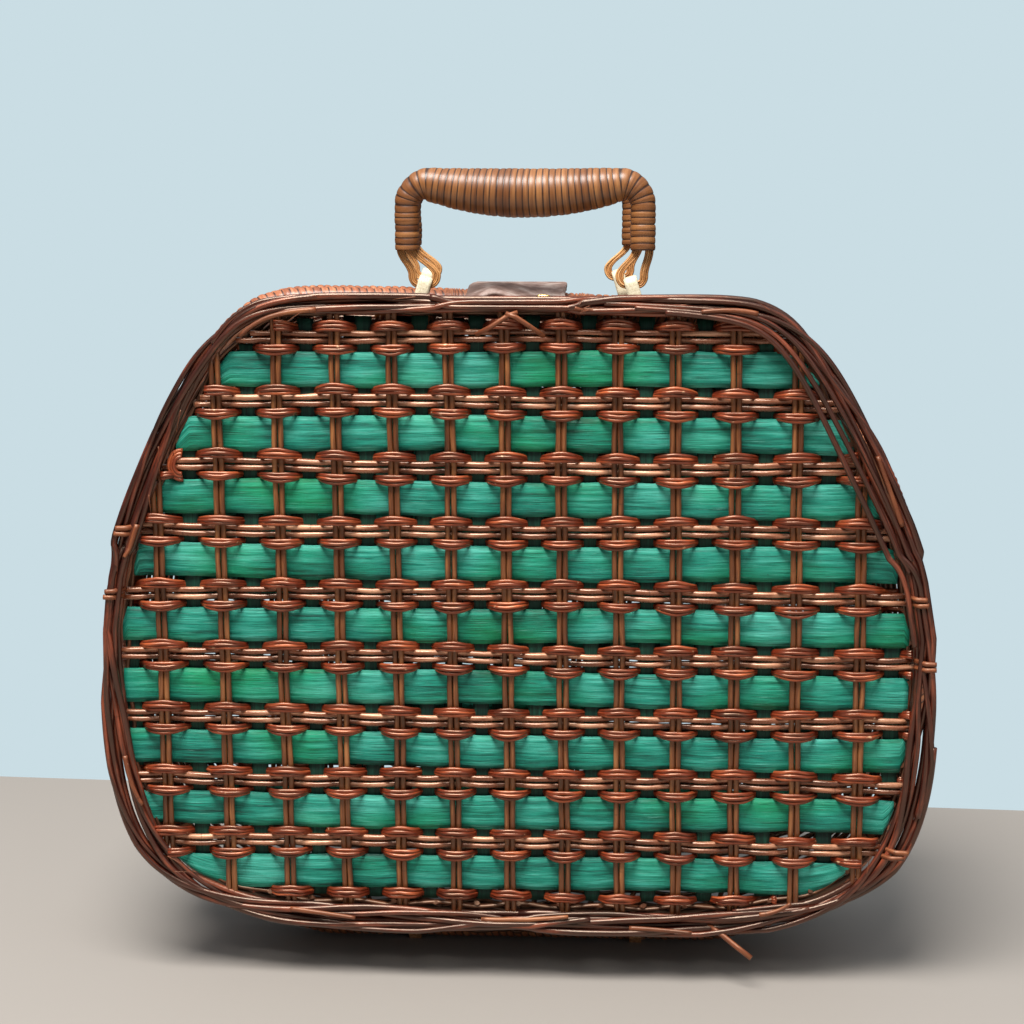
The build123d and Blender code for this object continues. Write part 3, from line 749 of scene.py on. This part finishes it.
dark_willow = willow("dark willow", ((20, 6, 5), (56, 18, 13), (142, 68, 44)), 0.30, 0.6)
on_both("plaited_border", border_parts, dark_willow, "border")

split_willow = willow("split willow", ((70, 30, 16), (112, 56, 32), (160, 98, 60)), 0.42, 0.2)
on_both("cut_ends", splinter_parts, split_willow)


# Mouth rims. Each is a hoop wrapped tightly in flat tan cane, turn against turn. The hinge ties and
# their rods along the bottom are left as the solids have them.
RIM_INSET, RIM_LAYER, RIM_RADIUS, RIM_TURN = 6.1, -7.25, 5.9, 3.7
RIM_GROOVE, RIM_SLANT, RIM_LOWEST, RIM_SUNK, RIM_UNEVENNESS = 0.7, 0.55, 0.3, 0.75, 0.14


def wrapped(path, wrap, radius, seed, closed=False):
    """Core wrapped in cane, from the turns made so far and the radius at each corner."""
    points, faces, lay = tube(path, 1, 1, FRONT, wrap.shape[1], closed, seed)
    spoke = (points.reshape(*wrap.shape, 3) - path[:, None]) * 2
    lay[:, 0] = wrap.ravel()
    return (path[:, None] + spoke * radius[..., None]).reshape(-1, 3), faces, lay


def rim_parts(rear):
    steps, sides = 5, 12
    _, length = paced_turns(10, mouth_point, RIM_INSET)
    wraps = int(length / RIM_TURN)
    turns, _ = paced_turns(wraps * steps, mouth_point, RIM_INSET)
    centre = mouth_point(turns, RIM_INSET)
    path = np.stack([centre[:, 0], np.full(len(turns), RIM_LAYER), centre[:, 1]], -1)
    s = np.arange(len(turns))[:, None] / steps
    a = np.arange(sides)[None, :] / sides
    wrap = s + RIM_SLANT * np.sin(2 * np.pi * a)
    ridge = np.abs(np.sin(np.pi * wrap)) ** 0.55
    draw = np.random.default_rng(1200)
    uneven = np.interp(s.ravel() % wraps, np.arange(wraps + 1), draw.normal(0, RIM_UNEVENNESS, wraps + 1))
    radius = RIM_RADIUS - RIM_SUNK + RIM_GROOVE * ridge + uneven[:, None]
    points, faces, lay = wrapped(path, wrap, radius, rear, True)
    points[:, 2] = np.maximum(points[:, 2], RIM_LOWEST)
    return [(points, faces, lay)]


def wrapped_cane(name, shades, shadow):
    """Turns of flat cane: each turn a shade of its own, with dark joins between and a waxy skin."""
    f = Finish(name)
    turn = f.add("ShaderNodeCombineXYZ")
    f.join(f.math("FLOOR", f.along), turn.inputs[0])
    f.join(f.seed, turn.inputs[1])
    shade = f.noise(turn.outputs[0], 0.73, 2.0)
    fibres = f.grain(2.6, 2.0, 4.0, 0.65)
    tone = f.scaled(shade, 0.5, f.scaled(fibres, 0.5))
    colour = f.ramp(tone, [(0.36, shades[0]), (0.50, shades[1]), (0.64, shades[2])])
    within = f.math("FRACT", f.along)
    edge = f.math("MINIMUM", within, f.math("SUBTRACT", 1.0, within))
    joins = f.ramp(edge, [(0.05, WHITE), (0.16, BLACK)])
    colour = f.mix(f.math("MULTIPLY", joins, 0.92), colour, shadow)
    normal = f.bump(fibres, 0.3, 0.0002)
    return f.done(colour, 0.42, normal, specular=0.45, coat=0.2, coat_roughness=0.3)


tan_cane = wrapped_cane("tan cane", ((112, 56, 32), (158, 92, 58), (200, 136, 94)), (46, 18, 8))
on_both("wrapped_rim", rim_parts, tan_cane, "mouth_rim")


def cut_cane(name, shades):
    """Plain cane for the pieces that keep their solids, with the grain laid by their place."""
    f = Finish(name)
    place = f.add("ShaderNodeTexCoord").outputs["Object"]
    grain = f.add("ShaderNodeMapping", Scale=(900.0, 900.0, 220.0))
    f.join(place, grain.inputs["Vector"])
    streaks = f.noise(grain.outputs[0], 1.0, 4.0, 0.6)
    colour = f.ramp(streaks, [(0.32, shades[0]), (0.52, shades[1]), (0.70, shades[2])])
    return f.done(colour, 0.45, f.bump(streaks, 0.3, 0.0002), specular=0.45)


def dress(node, finish):
    """Puts a material on a solid that stays."""
    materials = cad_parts[node].data.materials
    materials.clear()
    materials.append(finish)


tie_cane = cut_cane("tie cane", ((140, 86, 50), (190, 130, 84), (222, 172, 122)))
for node in ("front_hinge_ties", "rear_hinge_ties", "hinge_rods"):
    dress(node, tie_cane)


# Handle grips. A fat arched core is wrapped in flat cane, turn against turn, thick in the middle and
# thin at the legs.
HANDLE_OFFSETS, HANDLE_STRETCH, HANDLE_DEPTH = (5.0, 0.6), (1.0, 1.03), -42.0
HANDLE_HALF_WIDTH, HANDLE_RISE, HANDLE_CORNER, HANDLE_SAG = 55.0, 30.4, 10.0, 4.1
WRAP_START, LEG_RADIUS, GRIP_RADIUS, GRIP_TURN = 349.5, 5.8, 11.3, 3.0
GRIP_GROOVE, GRIP_SUNK, GRIP_SLANT, GRIP_UNEVENNESS = 0.55, 0.5, (0.16, 0.07), 0.12


def arch_path(travel):
    """Centre line of the grip, up the left leg, along the sagging top and down again, and its length."""
    leg, arc = HANDLE_RISE - HANDLE_CORNER, HANDLE_CORNER * np.pi / 2
    top = HANDLE_HALF_WIDTH - HANDLE_CORNER
    whole = 2 * (leg + arc + top)
    t = np.minimum(travel, whole - travel)
    angle = np.clip((t - leg) / HANDLE_CORNER, 0, np.pi / 2)
    x = -HANDLE_HALF_WIDTH + HANDLE_CORNER * (1 - np.cos(angle)) + np.clip(t - leg - arc, 0, None)
    z = np.minimum(t, leg) + HANDLE_CORNER * np.sin(angle)
    z = z - HANDLE_SAG * (1 - (x / top) ** 2) * (t > leg + arc)
    return np.where(travel <= whole / 2, x, -x), z + WRAP_START, whole


def grip_parts(rear):
    steps, sides = 8, 28
    whole = arch_path(np.zeros(1))[2]
    wraps = int(whole / GRIP_TURN)
    x, z, _ = arch_path(np.linspace(0, whole, wraps * steps + 1))
    across = x * HANDLE_STRETCH[rear] + HANDLE_OFFSETS[rear]
    path = np.stack([across, np.full(len(x), HANDLE_DEPTH), z], -1)
    s = np.arange(len(x))[:, None] / steps
    a = np.arange(sides)[None, :] / sides
    draw = np.random.default_rng(1300 + rear)
    slant = np.interp(s.ravel(), np.arange(wraps + 1), draw.normal(*GRIP_SLANT, wraps + 1))[:, None]
    wrap = s + slant * np.sin(2 * np.pi * a) + 0.05 * np.sin(2 * np.pi * s * 0.37)
    ridge = np.abs(np.sin(np.pi * wrap)) ** 0.3
    uneven = np.interp(s.ravel(), np.arange(wraps + 1), draw.normal(0, GRIP_UNEVENNESS, wraps + 1))
    core = GRIP_RADIUS - (GRIP_RADIUS - LEG_RADIUS) * (x / HANDLE_HALF_WIDTH) ** 2
    radius = core[:, None] - GRIP_SUNK + GRIP_GROOVE * ridge + uneven[:, None]
    return [wrapped(path, wrap, radius, 5 + rear)]


grip_cane = wrapped_cane("grip cane", ((92, 50, 22), (124, 76, 38), (158, 106, 60)), (34, 12, 5))
on_both("wrapped_grip", grip_parts, grip_cane, "handle_grip", "handle")


# Handle loops. Below the wrapping the cane core splits into flat pale strands, which splay and close
# into a loop that turns in the clip.
PIVOT_HEIGHT, CLIP_SPACING = 333.5, 49.6
STRANDS, STRAND_THICKNESS, STRAND_WIDTH, STRAND_SPACING = 4, 1.15, 2.6, 0.95
LOOP_TOP, LOOP_BAR = 1.3, 4.0
CORNERS = [(half, rear, side, word) for half, rear in HALVES for side, word in ((-1, "left"), (1, "right"))]
CLIP_SHIFTS = {(-1, 0): 2.6, (1, 0): 0.4, (-1, 1): 0.0, (1, 1): -1.5}


def clip_place(side, rear):
    """Middle of a clip across the case. Some were pushed in a little off their place."""
    return HANDLE_OFFSETS[rear] + side * CLIP_SPACING + CLIP_SHIFTS[side, rear]


def loop_parts(side, rear):
    clip = clip_place(side, rear)
    top = HANDLE_OFFSETS[rear] + side * HANDLE_HALF_WIDTH * HANDLE_STRETCH[rear]
    parts = []
    for strand in range(STRANDS):
        wider = STRAND_SPACING * strand
        out, wide, low = LOOP_TOP + wider, LOOP_BAR + wider, PIVOT_HEIGHT + LOOP_TOP - wider
        path = np.array([
            [top - out - 0.2, WRAP_START + 2.5], [top - out - 0.4, WRAP_START - 2],
            [clip - wide - 0.2, PIVOT_HEIGHT + 6.5], [clip - wide - 0.3, PIVOT_HEIGHT + 2],
            [clip - wide * 0.62, low], [clip + wide * 0.62, low],
            [clip + wide + 0.3, PIVOT_HEIGHT + 2], [clip + wide + 0.2, PIVOT_HEIGHT + 6.5],
            [top + out + 0.4, WRAP_START - 2], [top + out + 0.2, WRAP_START + 2.5],
        ])
        for _ in range(3):
            cut = np.empty((2 * len(path) - 2, 2))
            cut[0::2] = 0.75 * path[:-1] + 0.25 * path[1:]
            cut[1::2] = 0.25 * path[:-1] + 0.75 * path[1:]
            path = np.concatenate([path[:1], cut, path[-1:]])
        depth = HANDLE_DEPTH + 0.25 * (strand % 2) + 0.2 * wander(len(path), 3, 1400 + strand)
        path = np.stack([path[:, 0], depth, path[:, 1]], -1)
        seed = 1 + strand + 5 * side + 17 * rear
        parts.append(tube(path, STRAND_THICKNESS, STRAND_WIDTH, FRONT, 8, seed=seed))
    return parts


pale_cane = reed("pale cane", ((140, 90, 50), (196, 140, 84), (232, 188, 132), (240, 206, 160)), 0.42)
for half, rear, side, word in CORNERS:
    piece(f"{half}_cane_loop_{word}", loop_parts(side, rear), pale_cane, half + "_handle",
          [f"{half}_handle_loop_{word}"], turned=rear)


# Handle clips. A flat, off-white strap is bent over the bar of each loop, and its two tails go down
# through the wall. Each leans over a little with the pull of its loop.
CLIP_HALF_WIDTH, CLIP_THICKNESS, CLIP_CROWN, CLIP_LEAN = 3.1, 1.1, 0.15, 0.3
CLIP_TAIL, CLIP_BEND = ((-3.4, -11.0), (-3.3, -6.0), (-3.2, -2.5)), (3.1, 3.3)


def clip_parts(side, rear):
    angle = np.linspace(0, np.pi, 13)
    tail_y, tail_z = np.array(CLIP_TAIL).T
    y = np.concatenate([tail_y, -CLIP_BEND[0] * np.cos(angle), -tail_y[::-1]])
    z = np.concatenate([tail_z, CLIP_BEND[1] * np.sin(angle), tail_z[::-1]])
    out = np.stack([np.zeros(len(y)), y / CLIP_BEND[1], np.clip(z, 0, None) / CLIP_BEND[1]], -1)
    out /= np.linalg.norm(out, axis=1, keepdims=True)
    lean = -side * CLIP_LEAN
    path = np.stack([clip_place(side, rear) + lean * z, HANDLE_DEPTH + y, PIVOT_HEIGHT + z], -1)
    across = np.array([-math.cos(lean), 0, math.sin(lean)])
    return [ribbon(path, across, CLIP_HALF_WIDTH, CLIP_THICKNESS, out[:, None, :], 7.0 * side + rear,
                   CLIP_CROWN, 7)]


def strap_white():
    f = Finish("white strap")
    grain = f.grain(1.2, 1.6, 3.0)
    colour = f.ramp(grain, [(0.3, (196, 180, 146)), (0.7, (236, 226, 198))])
    return f.done(colour, 0.5, f.bump(grain, 0.3, 0.0003), specular=0.4)


white_strap = strap_white()
for half, rear, side, word in CORNERS:
    strap_clip = piece(f"{half}_strap_clip_{word}", clip_parts(side, rear), white_strap, None,
                       [f"{half}_handle_clip_{word}"], turned=rear)
    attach(strap_clip, half + "_half")


# Latch strap. One piece of brown leather is riveted to the rear half and lies over both rims. Its free
# end droops and waves, and arches up left of the middle. It bends where it leaves the rear rim.
STRAP_HALF_WIDTH, STRAP_THICKNESS = 23.5, 2.3
STRAP_FRONT, STRAP_FOLD, STRAP_BACK = -40.0, 12.3, 34.0
STRAP_SUNK, STRAP_DROOP, STRAP_DROOP_FROM = 4.3, 5.6, -9.0
STRAP_WAVE, STRAP_ARCH, STRAP_ARCH_PLACE, STRAP_ARCH_WIDTH = 1.5, 2.4, -0.45, 0.34
STRAP_TAPER, STRAP_CORNER, STRAP_CORNER_LENGTH, STRAP_LIP = 0.9, 2.2, 3.0, 0.5


def strap_parts():
    low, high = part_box("strap_anchor")
    level, back = high[2] / MM - STRAP_THICKNESS, low[2] / MM
    count, lanes = 70, 61
    y = np.linspace(STRAP_FRONT, STRAP_BACK, count)
    droop = STRAP_DROOP * np.clip((STRAP_DROOP_FROM - y) / (STRAP_DROOP_FROM - STRAP_FRONT), 0, 1) ** 1.25
    behind = np.clip((y - STRAP_FOLD) / (STRAP_BACK - STRAP_FOLD), 0, 1)
    height = level - droop - (level - back) * behind ** 0.9 - STRAP_SUNK * smooth_step(1 - 1.6 * behind)
    across = np.sin(np.linspace(-np.pi / 2, np.pi / 2, lanes))
    across = np.sign(across) * np.abs(across) ** 0.75
    edge = np.abs(across)
    narrow = STRAP_HALF_WIDTH - STRAP_TAPER * np.clip((y - 10) / 24, 0, 1)
    corner = STRAP_CORNER * np.clip(1 - (y - STRAP_FRONT) / STRAP_CORNER_LENGTH, 0, 1) ** 2
    half = (narrow - corner)[:, None]
    x = across[None, :] * half
    share = np.clip((STRAP_FOLD - y) / 50.0, 0, 1)[:, None]
    arch = STRAP_ARCH * np.exp(-((across - STRAP_ARCH_PLACE) / STRAP_ARCH_WIDTH) ** 2)
    wave = (STRAP_WAVE * np.sin(across * 2.9 + 2.5) + arch)[None, :] * share ** 1.5
    round_over = np.clip((edge - 0.93) / 0.07, 0, 1)[None, :] ** 2
    lip = STRAP_LIP * np.clip(1 - (y - STRAP_FRONT) / 1.6, 0, 1)[:, None] ** 2
    deep = np.broadcast_to(y[:, None], (count, lanes))
    under = height[:, None] + wave
    top = np.stack([x, deep, under + STRAP_THICKNESS - 0.5 * round_over - lip], -1)
    bottom = np.stack([x, deep, under + 0.4 * round_over + 0.6 * lip], -1)[:, ::-1]
    points = np.concatenate([top, bottom], 1)
    sides = 2 * lanes
    underside = np.broadcast_to(np.repeat([0.0, 1.0], lanes), (count, sides))
    lay = np.stack([points[..., 0], points[..., 1], underside], -1).reshape(-1, 3)
    i = np.arange(count - 1)[:, None] * sides
    j = np.arange(sides)[None, :]
    quads = np.stack([i + j, i + sides + j, i + sides + (j + 1) % sides, i + (j + 1) % sides], -1)
    faces = quads.reshape(-1, 4).tolist()
    for end in (0, (count - 1) * sides):
        for k in range(lanes - 1):
            faces.append([end + k, end + k + 1, end + sides - 2 - k, end + sides - 1 - k])
    return [(points.reshape(-1, 3), faces, lay)]


def brown_leather():
    f = Finish("brown leather")
    grain = f.add("ShaderNodeTexVoronoi", Scale=1.4)
    f.join(f.lay, grain.inputs["Vector"])
    patches = f.noise(f.lay, 0.09, 4.0)
    colour = f.ramp(patches, [(0.34, (96, 70, 60)), (0.50, (140, 114, 104)), (0.66, (182, 164, 154))])
    normal = f.bump(grain.outputs["Distance"], 0.35, 0.0003)
    return f.done(colour, 0.55, normal, specular=0.4)


leather = brown_leather()
strap = piece("leather_strap", strap_parts(), leather, None)
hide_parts("strap_anchor", "strap_flap")
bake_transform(strap)


# Brass. Two rivets hold the strap at the back, and stay as the solids have them. A small plate of the
# clasp shows under the strap's front edge.
CLASP_RISE, CLASP_WIDTH, CLASP_DEPTH = -1.2, 3.2, 1.3


def worn_brass():
    f = Finish("worn brass")
    place = f.add("ShaderNodeTexCoord").outputs["Object"]
    tarnish = f.noise(place, 420.0, 4.0)
    colour = f.ramp(tarnish, [(0.35, (186, 140, 64)), (0.6, (240, 204, 120))])
    f.shader.inputs["Metallic"].default_value = 1.0
    return f.done(colour, f.scaled(tarnish, 0.3, 0.15))


brass = worn_brass()
dress("strap_rivets", brass)


def clasp_parts():
    low, high = (np.array(corner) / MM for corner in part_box("brass_clasp"))
    middle, half = (low + high) / 2, (high[0] - low[0]) / 2
    across = np.linspace(-1, 1, 9)
    height = high[2] + CLASP_RISE - 0.25 * across
    path = np.stack([middle[0] + half * across, middle[1] + 0.4 * across ** 2, height], -1)
    return [tube(path, CLASP_WIDTH - 0.8 * across ** 2, CLASP_DEPTH, FRONT, 12, seed=2)]


piece("brass_clasp_plate", clasp_parts(), brass, "front_half", ["brass_clasp"])


# Table, light and camera. A plain pale table, whose back edge runs down to the right, stands before a
# plain pale sky. The light is a large soft lamp high in front of the case, a weak one from the right and
# the room. The camera stands a little right of the case and above it.
TABLE_SIDE, TABLE_FRONT, TABLE_BACK, TABLE_SLANT = 4.0, -2.0, 0.243, 0.24
TABLE_COLOUR, SEEN_SKY = (150, 143, 136), (202, 221, 228)
ROOM_LIGHT = ((0.0, (44, 40, 36)), (0.45, (64, 68, 70)), (0.62, (98, 106, 110)), (1.0, (215, 222, 228)))
AIM = (0, 0, 0.2)
CAMERA_PLACE, CAMERA_YAW, CAMERA_PITCH = (0.0506, -1.0, 0.378), 3.08, 9.02
FOCAL_PIXELS, FRAME_PIXELS, SENSOR = 2039.0, 1024.0, 36.0

table = in_scene("table", bpy.data.meshes.new("table"))
table.data.from_pydata([
    (-TABLE_SIDE, TABLE_FRONT, 0), (TABLE_SIDE, TABLE_FRONT, 0),
    (TABLE_SIDE, TABLE_BACK - TABLE_SLANT, 0), (-TABLE_SIDE, TABLE_BACK + TABLE_SLANT, 0),
], [], [(0, 1, 2, 3)])
table.data.materials.append(Finish("pale table").done(TABLE_COLOUR, 0.6))

world = bpy.data.worlds.new("room")
world.use_nodes = True
tree = world.node_tree
sky = tree.nodes.new("ShaderNodeValToRGB")
height = tree.nodes.new("ShaderNodeSeparateXYZ")
tree.links.new(tree.nodes.new("ShaderNodeTexCoord").outputs["Generated"], height.inputs[0])
rise = tree.nodes.new("ShaderNodeMath")
rise.operation = "MULTIPLY_ADD"
rise.inputs[1].default_value = rise.inputs[2].default_value = 0.5
tree.links.new(height.outputs["Z"], rise.inputs[0])
tree.links.new(rise.outputs[0], sky.inputs[0])
while len(sky.color_ramp.elements) < len(ROOM_LIGHT):
    sky.color_ramp.elements.new(0.5)
for element, (place, colour) in zip(sky.color_ramp.elements, ROOM_LIGHT):
    element.position = place
    element.color = (*linear(colour), 1)
seen = tree.nodes.new("ShaderNodeMix")
seen.data_type = "RGBA"
seen.inputs[7].default_value = (*linear(SEEN_SKY), 1)
tree.links.new(tree.nodes.new("ShaderNodeLightPath").outputs["Is Camera Ray"], seen.inputs[0])
tree.links.new(sky.outputs[0], seen.inputs[6])
tree.links.new(seen.outputs[2], tree.nodes["Background"].inputs[0])
tree.nodes["Background"].inputs[1].default_value = 1.0
bpy.context.scene.world = world


def lamp(name, place, size, power, colour):
    """Flat lamp that faces the case. Its size is in metres and its power in watts."""
    light = bpy.data.lights.new(name, "AREA")
    light.shape = "RECTANGLE"
    light.size, light.size_y = size
    light.energy = power
    light.color = colour
    obj = in_scene(name, light)
    obj.location = place
    x, y, z = np.array(AIM) - np.array(place)
    obj.rotation_euler = (math.atan2(math.hypot(x, y), -z), 0, math.atan2(y, x) - math.pi / 2)


lamp("sky light", (-0.3, -0.8, 1.9), (1.1, 0.9), 78, (1.0, 0.985, 0.96))
lamp("room light", (1.3, -1.5, 0.9), (1.4, 1.4), 4, (0.97, 0.98, 1.0))

camera = bpy.data.cameras.new("camera")
camera.sensor_width = SENSOR
camera.lens = SENSOR * FOCAL_PIXELS / FRAME_PIXELS
eye = in_scene("camera", camera)
eye.location = CAMERA_PLACE
eye.rotation_euler = (math.radians(90 - CAMERA_PITCH), 0, math.radians(CAMERA_YAW))
bpy.context.scene.camera = eye
bpy.context.scene.view_settings.view_transform = "Standard"
